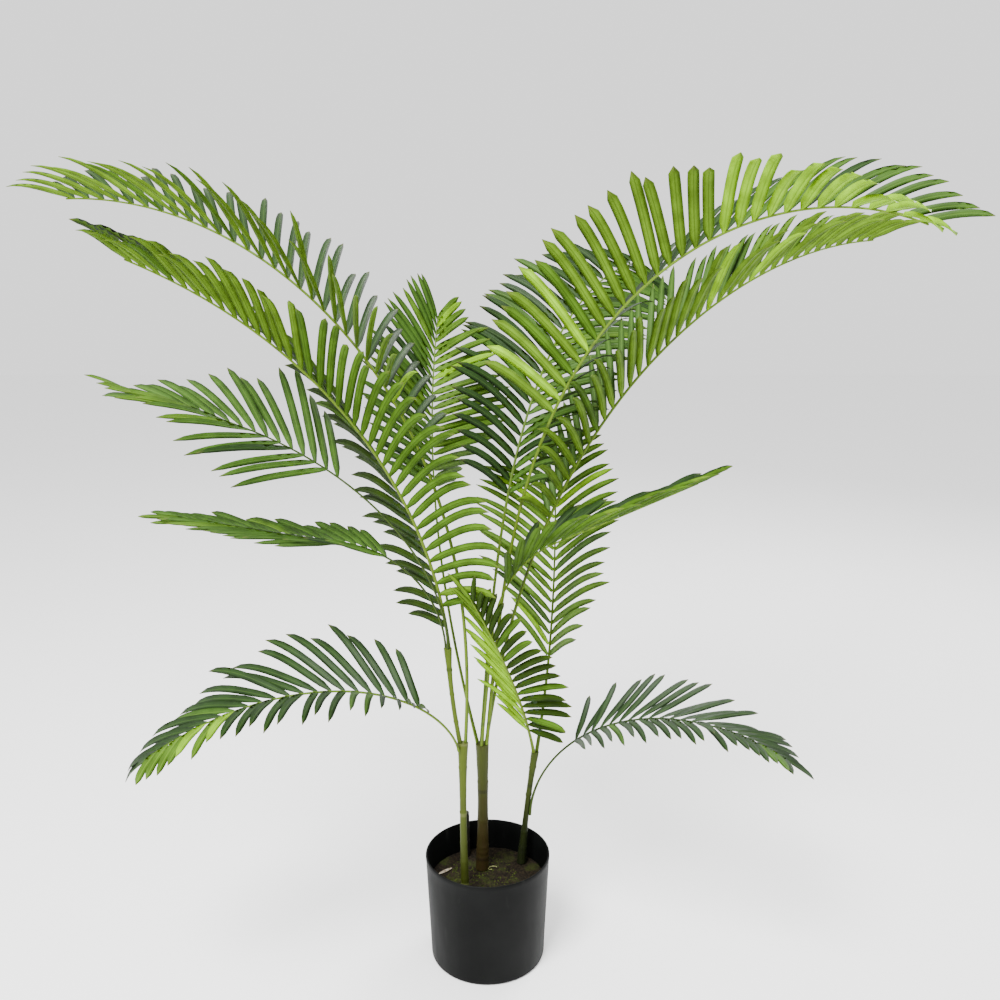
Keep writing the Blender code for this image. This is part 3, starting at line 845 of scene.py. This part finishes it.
LEAVES = both_sides("leaf", leaf_finish, LEAF_TINTS)
RIBS = both_sides("rib", rod_finish, RIB_TINTS)
print(len(bpy.data.materials), "materials")

# %% [markdown]
# Each leaflet is a closed strip, folded along its middle, pinched at the root and blunt at the tip.
# Its path follows the rule in finer steps, so it bows where the plain solid is straight.
# The draw of finishes leans to the frond's own pair, whose tints hold painted light and shade as well
# as the fabric's tone, and is seeded, so the crown is mixed but fixed.

# %% Fronds
LEAF_FINE_STEPS = 9
LEAF_HALF_THICKNESS = 0.2 * MM
LEAF_FOLD = 0.42
LEAF_ROOT_SHARE = 0.5
# shares of a leaflet's length by which it is fully open and fully turned, and how much of the
# room between neighbours a turned one takes
LEAF_OPENS_BY = 0.14
TILTED_FROM = 0.35
SLAT_ROOM = 1.15
LEAF_HALF_LEAST = 0.3 * MM
RIB_FINE_STEPS = 110
SHEATH_SWELL = 0.45
SHEATH_LENGTH = 45 * MM
RIB_RELIEF = 0.25 * MM
# finish: 0 deep to 3 bright, partly the fabric's tone and partly painted light and shade;
# outer: steps of painted light from OUTER_LIGHT_FROM on, brighter where positive; width: share of the
# widest
# taper: share of the length over which the tip narrows; each pair is right row, left row
# right_turn, left_turn: degrees that each row turns about its leaflets' own length, foot and tip
# rib: 0 deep, 1 green
Dress = namedtuple("Dress", "finish outer width taper right_turn left_turn rib")
DRESS = {
    "frond_right_front": Dress((2, 0), (1, 1), (1.0, 0.66), (0.16, 0.5), (8, -24), (-48, -24), 1),
    "frond_left_arch": Dress((0, 1), (0, 1), (0.76, 0.74), (0.4, 0.25), (46, 56), (22, -44), 1),
    "frond_left_top": Dress((0, 2), (0, 0), (0.72, 0.54), (0.35, 0.5), (-16, -24), (-42, -34), 1),
    "frond_right_arch": Dress((2, 1), (0, 1), (0.78, 0.72), (0.4, 0.5), (-28, -62), (-22, 14), 1),
    "frond_back_right": Dress((1, 0), (0, 0), (0.72, 0.78), (0.35, 0.3), (26, 56), (22, 56), 1),
    "frond_left_middle": Dress((1, 1), (0, 1), (0.74, 0.62), (0.3, 0.4), (-12, -50), (8, 50), 0),
    "frond_left_basal": Dress((0, 0), (0, 2), (0.74, 0.68), (0.3, 0.3), (-38, -56), (18, 50), 1),
    "frond_right_basal": Dress((0, 0), (0, 0), (0.62, 0.62), (0.35, 0.35), (22, 50), (-50, -56), 0),
    "frond_back_upright": Dress((2, 2), (0, 0), (0.66, 0.62), (0.35, 0.4), (26, 18), (-18, 14), 1),
    "frond_centre_upright": Dress((2, 1), (0, 0), (0.7, 0.7), (0.35, 0.4), (0, 44), (22, 42), 1),
    "frond_right_middle": Dress((1, 0), (0, 0), (0.8, 0.8), (0.35, 0.35), (-52, -66), (-58, -66), 1),
    "frond_left_low": Dress((1, 1), (0, 1), (0.74, 0.74), (0.35, 0.35), (-56, -64), (60, 64), 0),
    "frond_front_small": Dress((3, 0), (-1, 0), (0.5, 0.72), (0.5, 0.4), (56, 62), (48, 0), 1),
}
OUTER_LIGHT_FROM = 0.62
STRAY_FINISH = 0.1


def leaf_outline(share, taper):
    """Half width as a share of the widest: pinched root, even strap, rounded tip."""
    opening = min(share / LEAF_OPENS_BY, 1.0)
    opening = LEAF_ROOT_SHARE + (1 - LEAF_ROOT_SHARE) * opening * opening * (3 - 2 * opening)
    closing = max(min((1.0 - share) / taper, 1.0), 0.0)
    return opening * math.sqrt(max(1 - (1 - closing) ** 2, 0.0))


def leaf_path(frond, pair, row, tint, widest, taper, turn):
    """Points of one leaflet for the sweep tree."""
    size, extra = leaflet_plan[(frond.name, pair, row)]
    curve = rib_curves[frond.name]
    points, headings, along, up, room = leaflet_path(
        frond, curve, pair, row, size, extra, LEAF_FINE_STEPS)
    outward = (headings[0] - along * along.dot(headings[0])).normalized()
    path = []
    for step, point in enumerate(points):
        share = step / LEAF_FINE_STEPS
        before = headings[max(step - 1, 0)]
        after = headings[min(step, LEAF_FINE_STEPS - 1)]
        across, up = leaflet_axes((before + after).normalized(), along, up)
        eased = min(share / TILTED_FROM, 1.0)
        free = room * (1 + (SLAT_ROOM - 1) * eased) - LEAFLET_SLIT * (1 - eased)
        width = min(LEAFLET_WIDTH * widest, free)
        off_rib = LEAFLET_ROOT_WIDTH + 2 * (point - points[0]).dot(outward)
        half = max(min(width * leaf_outline(share, taper), off_rib) / 2, LEAF_HALF_LEAST)
        tilt = turn * eased
        side = across * math.cos(tilt) + up * math.sin(tilt)
        face = up * math.cos(tilt) - across * math.sin(tilt)
        path.append(PathPoint(point, side, face, half, LEAF_HALF_THICKNESS, tint, share))
    return path


def rib_path(frond, high, tint):
    """Points of the rib up to a share of its length, widened to a sheath at its foot."""
    curve = rib_curves[frond.name]
    path = []
    for share in shares(RIB_FINE_STEPS):
        t = high * share
        along, side, normal = rib_axes(frond, t)
        half = rib_half(frond, t)
        distance = t * (frond.petiole + frond.blade) * MM
        sheath = 1 + SHEATH_SWELL * math.exp(-distance / SHEATH_LENGTH)
        path.append(PathPoint(on_curve(curve, t), side, normal, half * sheath, half, tint, t))
    return path


draw = random.Random(7)
leaf_pieces = {}
rib_pieces = {}
for frond_row in FRONDS:
    dress = DRESS[frond_row.name]
    leaf_paths = []
    for pair in range(frond_row.pairs):
        for row in (1, -1):
            if (frond_row.name, pair, row) not in leaflet_plan:
                continue
            which, turns = (0, dress.right_turn) if row > 0 else (1, dress.left_turn)
            # a row's tint holds painted light and shade, and its outer leaflets step further in painted
            # light
            tint = dress.finish[which]
            if pair > frond_row.pairs * OUTER_LIGHT_FROM:
                tint += dress.outer[which]
            if draw.random() < STRAY_FINISH:
                tint += draw.choice((-1, 1))
            tint = min(max(tint, 0), len(LEAVES) - 1)
            turn = math.radians(between(turns, (pair + 0.5) / frond_row.pairs))
            leaf_paths.append(leaf_path(frond_row, pair, row, tint,
                                        dress.width[which], dress.taper[which], turn))
    leaf_pieces[frond_row.name] = sweep(frond_row.name + "_leaflets", leaf_paths,
                                        LEAF_SECTION, LEAVES, fold=LEAF_FOLD)
    rib = rib_path(frond_row, blade_share(frond_row, BLADE_END), dress.rib)
    rib_pieces[frond_row.name] = sweep(frond_row.name + "_rib", [rib], RIB_SECTION, RIBS,
                                       relief=RIB_RELIEF, relief_scale=90.0)
print("leaflet triangles:", sum(len(p.data.polygons) * 2 for p in leaf_pieces.values()))

# %% [markdown]
# A moulded stem copies a cane: leaf-scar rings that stand a little proud and a swollen foot and head.
# The rings are drawn into the radius along the path, and the tree adds a fine unevenness.

# %% Stems
STEM_FINE_STEPS = 90
SCAR_WIDTH = 1.6 * MM
SCAR_HEIGHT = 0.45 * MM
CANE_RELIEF = 0.9 * MM
# heights of the scars in mm
SCARS = {
    "stem_left": (120, 142, 166, 205, 262), "stem_centre": (113, 121, 128, 164, 214),
    "stem_right": (118, 140, 190, 226), "stem_left_limb": (318, 352, 381), "cut_stub": (118, 137),
}
# name, foot, head, ring, roughness
CANES = {
    "stem_left": ("cane_left", (0.024, 0.030, 0.004), (0.060, 0.084, 0.006), (0.11, 0.12, 0.04), 0.5),
    "stem_centre": ("cane_centre", (0.024, 0.015, 0.005), (0.036, 0.046, 0.005),
                    (0.010, 0.007, 0.004), 0.5),
    "stem_right": ("cane_right", (0.006, 0.008, 0.003), (0.032, 0.046, 0.004),
                   (0.008, 0.010, 0.004), 0.5),
    "stem_left_limb": ("cane_limb", (0.056, 0.084, 0.006), (0.060, 0.094, 0.006),
                       (0.018, 0.026, 0.006), 0.5),
    "cut_stub": ("cane_cut", (0.007, 0.006, 0.004), (0.011, 0.011, 0.007),
                 (0.004, 0.003, 0.002), 0.7),
}


def stem_path(stem):
    """Points of a stem with its scars."""
    path = []
    for share in shares(STEM_FINE_STEPS):
        centre = stem_axis(stem, share)
        radius = stem_radius(stem, share)
        for scar in SCARS[stem.name]:
            radius += SCAR_HEIGHT * math.exp(-((centre.z - scar * MM) / SCAR_WIDTH) ** 2)
        path.append(PathPoint(centre, Vector((1.0, 0.0, 0.0)), Vector((0.0, 1.0, 0.0)),
                              radius, radius, 0, share))
    return path


stem_pieces = {}
for stem_row in STEMS:
    cane = rod_finish(*CANES[stem_row.name])
    stem_pieces[stem_row.name] = sweep(stem_row.name + "_cane", [stem_path(stem_row)],
                                       ROUND_SECTION, [(cane, cane)],
                                       relief=CANE_RELIEF, relief_scale=55.0)
print("stem faces:", sum(len(p.data.polygons) for p in stem_pieces.values()))

# %% [markdown]
# The pot is a thin moulding, turned from one profile with a rolled rim and a rounded foot.
# The turned mesh is closed, so it has a true wall.

# %% Pot
POT_FINE_SIDES = 128
FOOT_STEPS = 6
WALL_STEPS = 11
INNER_STEPS = 7
BAND = 7 * MM
LIP = 1.2 * MM
# the rolled rim in mm: how far in from its radius and how far below its top
RIM_ROLL = ((0.0, 4.0), (0.0, 1.2), (0.4, 0.3), (1.1, 0.0), (1.8, 0.4))


def turned(name, profile, sides, finish, shake=None):
    """A closed body turned from a (radius, height) profile that starts and ends on the axis."""
    verts = [Vector((0.0, 0.0, profile[0][1]))]
    for radius, height in profile[1:-1]:
        verts += [Vector((radius * math.cos(a), radius * math.sin(a), height))
                  for a in turns_of(sides)]
    verts.append(Vector((0.0, 0.0, profile[-1][1])))
    rows = len(profile) - 2
    faces = []
    for i in range(sides):
        j = (i + 1) % sides
        faces.append((0, 1 + j, 1 + i))
        for row in range(rows - 1):
            low = 1 + row * sides
            faces.append((low + i, low + j, low + sides + j, low + sides + i))
        top = 1 + (rows - 1) * sides
        faces.append((top + i, top + j, len(verts) - 1))
    if shake:
        verts = [shake(v) for v in verts]
    mesh = new_mesh(name, verts, (), faces)
    mesh.materials.append(finish)
    mesh.polygons.foreach_set("use_smooth", [True] * len(faces))
    return add_object(name, mesh)


def pot_radius(height):
    """Outer radius of the pot at a height."""
    return POT_BASE_RADIUS + (POT_RIM_RADIUS - POT_BASE_RADIUS) * height / POT_HEIGHT


def pot_finish():
    """Charcoal plastic with a fine grain, faint clouds and scuffs."""
    graph = new_material("pot_charcoal")
    scuffs = noise(graph, 70.0, 6.0, (1.0, 1.0, 0.25))
    grain = noise(graph, 1400.0, 2.0)
    cloud = noise(graph, 14.0, 3.0)
    colour = graph.mix(cloud.ramp(0.35, 0.7), rgb(0.0016, 0.0018, 0.0017),
                       rgb(0.0034, 0.0037, 0.0035))
    colour = graph.mix(scuffs.ramp(0.60, 0.78) * 0.5, colour, rgb(0.016, 0.017, 0.016))
    return painted(graph, Base_Color=colour, Roughness=scuffs * 0.2 + 0.42,
                   Normal=bump(graph, grain + scuffs, 0.25, 0.0003), Specular_IOR_Level=0.075)


edge = POT_EDGE_ROUND
profile = [(0.0, 0.0008), (0.3 * POT_BASE_RADIUS, 0.0008), (POT_BASE_RADIUS - 3 * edge, 0.0006),
           (POT_BASE_RADIUS - 2 * edge, 0.0), (POT_BASE_RADIUS - edge, 0.0)]
for share in shares(FOOT_STEPS)[1:]:
    turn = math.pi / 2 * share
    profile.append((pot_radius(edge) - edge + edge * math.sin(turn), edge - edge * math.cos(turn)))
for share in shares(WALL_STEPS)[1:]:
    height = between((edge, POT_HEIGHT - BAND), share)
    profile.append((pot_radius(height) - 0.1 * MM, height))
profile.append((pot_radius(POT_HEIGHT - LIP), POT_HEIGHT - 5 * MM))
profile += [(POT_RIM_RADIUS - inset * MM, POT_HEIGHT - drop * MM) for inset, drop in RIM_ROLL]
profile.append((POT_RIM_RADIUS - POT_WALL, POT_HEIGHT - LIP))
for share in shares(INNER_STEPS)[1:]:
    height = between((POT_HEIGHT - LIP, edge + POT_FLOOR), share)
    profile.append((pot_radius(height) - POT_WALL, height))
profile += [(pot_radius(0) - POT_WALL - edge * 0.7, POT_FLOOR), (0.0, POT_FLOOR)]
pot_piece = turned("pot_shell", profile, POT_FINE_SIDES, pot_finish())
print("pot faces:", len(pot_piece.data.polygons))

# %% [markdown]
# The fill is a weighted plug with a crust of dark grit and dry moss.
# The plug is turned like the pot and its top is made uneven.
# Crumbs and moss tufts are scattered by a tree.

# %% Fill
FILL_SIDES = 96
CRUST_RINGS = 26
CRUST_DEPTH = 2.5 * MM
DISC_SIDES = 32


def fill_finish():
    """Dark crust with mossy patches."""
    graph = new_material("fill_crust")
    grit = noise(graph, 420.0, 6.0)
    patch = noise(graph, 38.0, 4.0)
    colour = graph.mix(grit.ramp(0.35, 0.7), rgb(0.004, 0.003, 0.002), rgb(0.018, 0.013, 0.007))
    colour = graph.mix(patch.ramp(0.50, 0.66) * 0.8, colour, rgb(0.020, 0.026, 0.005))
    return painted(graph, Base_Color=colour, Roughness=0.95, Specular_IOR_Level=0.1,
                   Normal=bump(graph, grit + patch, 0.9, 0.0015))


def uneven(vert):
    """Lower the crust here and there."""
    if vert.z < FILL_TOP - CRUST_DEPTH:
        return vert
    drop = 2.0 * MM * (0.5 + 0.5 * solid_noise.noise(vert * 55.0))
    drop += 0.8 * MM * solid_noise.noise(vert * 210.0)
    return Vector((vert.x, vert.y, vert.z - max(drop, 0.0)))


foot = POT_FLOOR + GAP
reach = pot_radius(FILL_TOP) - POT_WALL - GAP
profile = [(0.0, foot), (pot_radius(0) - POT_WALL - 2 * edge, foot),
           (pot_radius(2 * edge) - POT_WALL - GAP, foot + 2 * edge),
           (pot_radius(FILL_TOP - 3 * MM) - POT_WALL - GAP, FILL_TOP - 3 * MM)]
profile += [((reach - 1.5 * MM) * (1 - step / CRUST_RINGS), FILL_TOP) for step in range(CRUST_RINGS)]
profile.append((0.0, FILL_TOP))
fill_piece = turned("fill_plug", profile, FILL_SIDES, fill_finish(), uneven)


def crumb_finish(name, dark, light):
    """Rough crumb that differs from one to the next."""
    graph = new_material(name)
    tone = noise(graph, 260.0, 3.0)
    return painted(graph, Base_Color=graph.mix(tone.ramp(0.3, 0.7), dark, light),
                   Roughness=0.95, Specular_IOR_Level=0.1,
                   Normal=bump(graph, noise(graph, 900.0), 0.6, 0.0005))


def scatter_tree():
    """Scatter small squashed stones over a mesh."""
    graph, take = geometry_tree("scatter_crumbs", (
        ("Ground", "Geometry"), ("Density", "Float"), ("Seed", "Int"), ("Largest", "Vector"),
        ("Material", "Material")))
    points = graph.node("GeometryNodeDistributePointsOnFaces",
                        values={"Mesh": take["Ground"], "Density": take["Density"],
                                "Seed": take["Seed"]})
    stone = graph.node("GeometryNodeMeshIcoSphere", values={"Radius": 1.0, "Subdivisions": 1})
    vectors = {"data_type": "FLOAT_VECTOR"}
    spin = graph.node("FunctionNodeRandomValue", vectors,
                      {0: (-0.6, -0.6, 0.0), 1: (0.6, 0.6, 6.28), "Seed": 3})
    size = graph.node("FunctionNodeRandomValue", vectors,
                      {0: (0.3, 0.3, 0.3), 1: (1.0, 1.0, 1.0), "Seed": 5})
    size = graph.vector("MULTIPLY", {0: size, 1: take["Largest"]})
    body = graph.node("GeometryNodeInstanceOnPoints",
                      values={"Points": points, "Instance": stone, "Rotation": spin,
                              "Scale": size})
    body = graph.node("GeometryNodeRealizeInstances", values={0: body})
    return finished(graph, graph.node("GeometryNodeSetMaterial", values={
        "Geometry": body, "Material": take["Material"]}))


SCATTER = scatter_tree()


def scatter(name, centre, radius, drop, density, seed, largest, finish):
    """Run the scatter tree on a flat disc that lies a little under the crust."""
    ring = [(centre[0] + radius * math.cos(a), centre[1] + radius * math.sin(a), FILL_TOP - drop)
            for a in turns_of(DISC_SIDES)]
    ground = new_mesh(name + "_ground", ring, (), [tuple(range(DISC_SIDES))])
    return run_tree(SCATTER, name, ground, {
        "Density": density, "Seed": seed, "Largest": largest, "Material": finish})


crumbs = scatter("fill_crumbs", (0.0, 0.0), reach - 3 * MM, 1.6 * MM, 60000.0, 11,
                 (2.2 * MM, 1.8 * MM, 1.2 * MM),
                 crumb_finish("crumb_dark", rgb(0.004, 0.003, 0.002), rgb(0.026, 0.019, 0.010)))
moss = scatter("fill_moss", (-8 * MM, 6 * MM), 44 * MM, 1.2 * MM, 70000.0, 4,
               (3.2 * MM, 1.1 * MM, 1.0 * MM),
               crumb_finish("moss_green", rgb(0.008, 0.012, 0.002), rgb(0.042, 0.055, 0.009)))
print("crumb faces:", len(crumbs.data.polygons), "moss faces:", len(moss.data.polygons))

# %% [markdown]
# A chip of bark and a curl of dry moss lie on the crust.
# Both are short sweeps: the chip is flat and blunt, the curl is a thread along part of a circle.

# %% Chip and curl
UPWARD = Vector((0.0, 0.0, 1.0))
CHIP_STEPS = 8
CHIP_LENGTH = 20 * MM
CHIP_PLACE = Vector((-53 * MM, 13.6 * MM, FILL_TOP + 0.6 * MM))
CURL_PLACE = Vector((5.7 * MM, 19 * MM, FILL_TOP + 0.4 * MM))
CURL_STEPS = 16
CURL_RADIUS = 5 * MM
CURL_TURN = 4.6
CURL_LIFT = 2.2 * MM


def chip_path():
    """A flat chip, thickest in the middle, leaning a little."""
    path = []
    heading = Vector((0.83, 0.55, 0.08)).normalized()
    side = Vector((-0.55, 0.83, 0.0))
    for share in shares(CHIP_STEPS):
        half = 2.4 * MM * max(math.sin(math.pi * (0.08 + 0.84 * share)), 0.1)
        place = CHIP_PLACE + heading * (share - 0.5) * CHIP_LENGTH
        path.append(PathPoint(place, side, UPWARD, half, half * 0.45, 0, share))
    return path


def curl_path():
    """A thread on most of a circle, its ends lifted."""
    path = []
    for share in shares(CURL_STEPS):
        outward = ray(CURL_TURN * share)
        place = CURL_PLACE + outward * CURL_RADIUS + UPWARD * (CURL_LIFT * (2 * share - 1) ** 2)
        half = 0.55 * MM * (1 - 0.5 * share)
        path.append(PathPoint(place, outward, UPWARD, half, half, 0, share))
    return path


chip_skin = crumb_finish("chip_bark", rgb(0.10, 0.075, 0.050), rgb(0.30, 0.26, 0.20))
curl_skin = crumb_finish("curl_moss", rgb(0.14, 0.14, 0.05), rgb(0.30, 0.31, 0.14))
chip = sweep("fill_chip", [chip_path()], ROUND_SECTION, [(chip_skin, chip_skin)],
             relief=0.6 * MM, relief_scale=300.0)
curl = sweep("fill_curl", [curl_path()], ROUND_SECTION, [(curl_skin, curl_skin)])
print("chip and curl:", len(chip.data.polygons), len(curl.data.polygons), "faces")

# %% [markdown]
# The set is a pale floor of paper under an even white sky, with a soft key light and a weaker
# one behind, so that the leaflets keep their own contrast.

# %% Floor, lights and camera
FLOOR_REACH = 8.0
PAPER_TONES = (0.955, 0.965)
WORLD_STRENGTH = 1.5
SOFT_BOX = 1.0
AIM = (0.0, 0.0, 0.6)
FILM_WIDTH = 36.0
LENS = 36.0
CAMERA_PLACE = (0.015, -1.096, 0.806)
CAMERA_PITCH = 77.8


def stage_material():
    """Plain white paper."""
    graph = new_material("paper")
    tones = [rgb(tone, tone, tone) for tone in PAPER_TONES]
    return painted(graph, Base_Color=graph.mix(noise(graph, 3.0), *tones), Roughness=0.9)


corners = [(x * FLOOR_REACH, y * FLOOR_REACH, 0.0) for x, y in ((-1, -1), (1, -1), (1, 1), (-1, 1))]
floor_mesh = new_mesh("floor", corners, (), [(0, 1, 2, 3)])
floor_mesh.materials.append(stage_material())
floor = add_object("floor", floor_mesh)

world = bpy.data.worlds.new("studio")
world.use_nodes = True
background = world.node_tree.nodes["Background"].inputs
background["Color"].default_value = rgb(1.0, 1.0, 1.0)
background["Strength"].default_value = WORLD_STRENGTH
bpy.context.scene.world = world


def soft_light(name, place, power):
    """A square soft box that faces the crown."""
    data = bpy.data.lights.new(name, "AREA")
    data.size = SOFT_BOX
    data.energy = power
    item = add_object(name, data)
    item.location = place
    item.rotation_euler = (Vector(AIM) - Vector(place)).to_track_quat("-Z", "Y").to_euler()


soft_light("key", (-0.7, -1.3, 2.3), 160.0)
soft_light("back_light", (1.2, 1.4, 2.0), 50.0)

camera_data = bpy.data.cameras.new("camera")
camera_data.sensor_width = FILM_WIDTH
camera_data.lens = LENS
camera = add_object("camera", camera_data)
camera.location = CAMERA_PLACE
camera.rotation_euler = (math.radians(CAMERA_PITCH), 0.0, 0.0)
bpy.context.scene.camera = camera
print("camera at", tuple(camera.location))

# %% [markdown]
# Every fine piece is told which body it moves with and which plain solids it stands for, so that
# the plain ones hide and the two models stay one.

# %% Ties between fine pieces and plain solids
ties = []
for frond_row in FRONDS:
    wanted = [frond_row.name + ending for ending in ("", "_petiole", "_outer")]
    nodes = [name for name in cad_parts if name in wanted]
    ties += [(pieces[frond_row.name], "frond", nodes) for pieces in (leaf_pieces, rib_pieces)]
for name, piece in stem_pieces.items():
    ties.append((piece, "cut_stem" if name == "cut_stub" else "stem", [name]))
ties.append((pot_piece, "pot_plastic", ["pot"]))
ties += [(piece, "fill", ["pot_fill"]) for piece in (fill_piece, crumbs, moss, chip, curl)]
for piece, slot, nodes in ties:
    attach(piece, "root")
    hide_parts(*nodes)
for helper in (ROUND_SECTION, RIB_SECTION, LEAF_SECTION):
    bpy.data.objects.remove(helper, do_unlink=True)
print(len(ties), "pieces tied")
